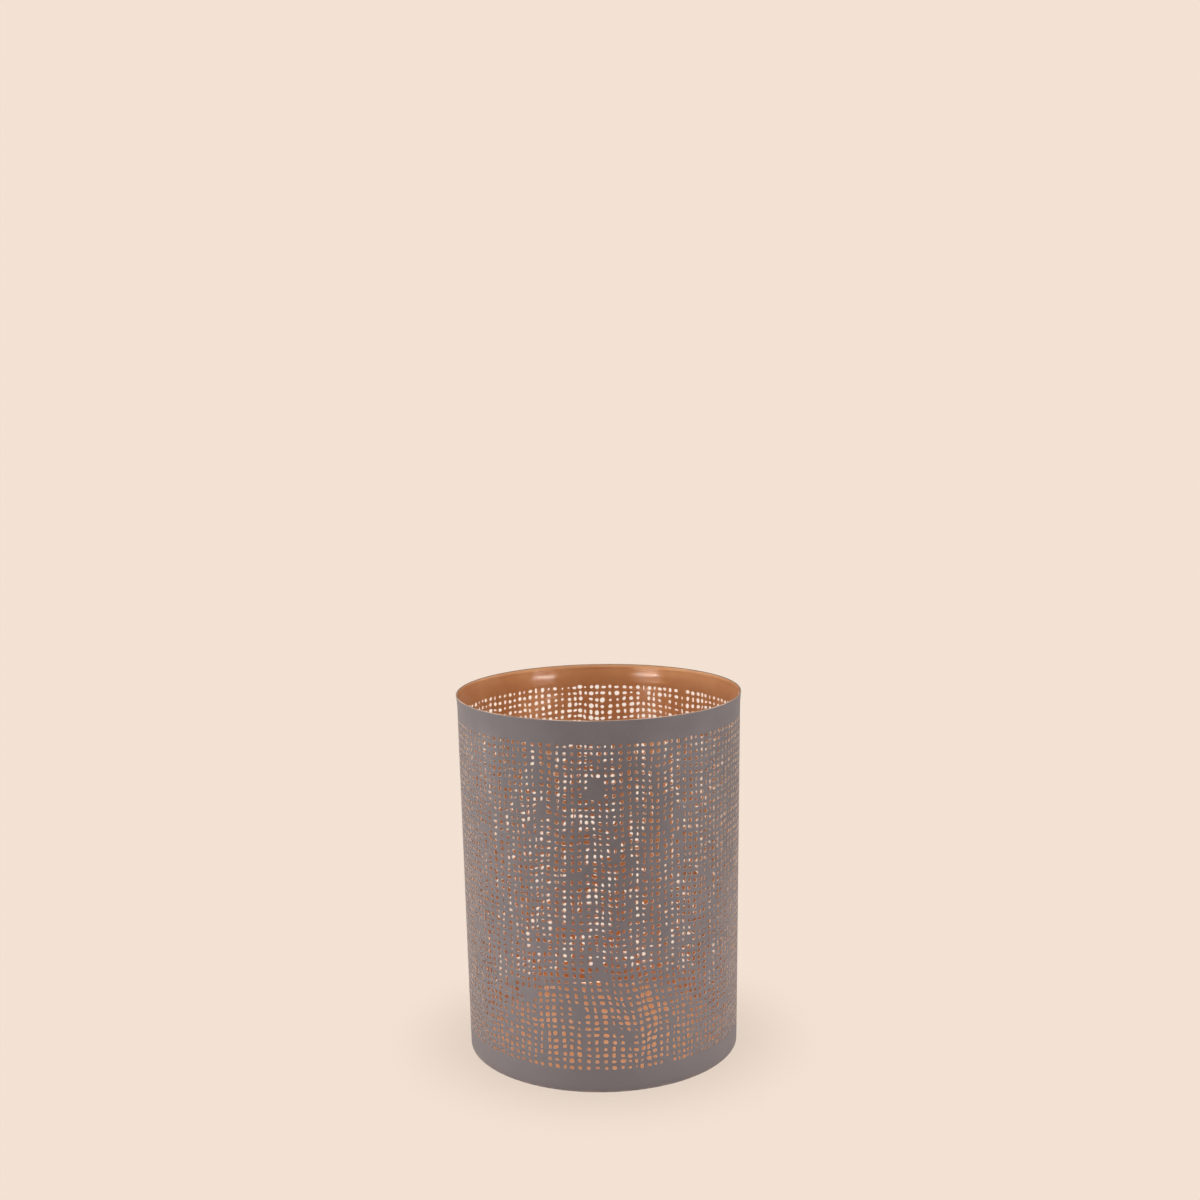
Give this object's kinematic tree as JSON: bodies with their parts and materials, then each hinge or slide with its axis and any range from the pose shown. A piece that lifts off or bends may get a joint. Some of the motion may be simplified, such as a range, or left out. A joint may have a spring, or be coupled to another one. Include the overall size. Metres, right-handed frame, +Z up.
{
  "type": "candle lantern",
  "caption": "Open-topped round candle lantern of thin rolled sheet metal, pierced all over with a woven-mesh openwork between plain bands, with a soldered flat base plate.",
  "frame": {"origin": "centre of the foot, on the surface that the lantern stands on", "axes": "+Z up along the lantern's centre line, +X towards the upright seam, -Y towards the viewer of the picture"},
  "size_m": [0.102, 0.102, 0.1315],
  "materials": {
    "shell_coat": "matte warm grey coat outside, satin copper lacquer inside",
    "plate_metal": "satin copper lacquer",
    "solder_metal": "copper lacquer over solder"
  },
  "bodies": {
    "root": {"perforated_shell": "shell_coat", "base_plate": "plate_metal", "seam_solder": "solder_metal", "base_solder": "solder_metal"}
  },
  "joints": []
}
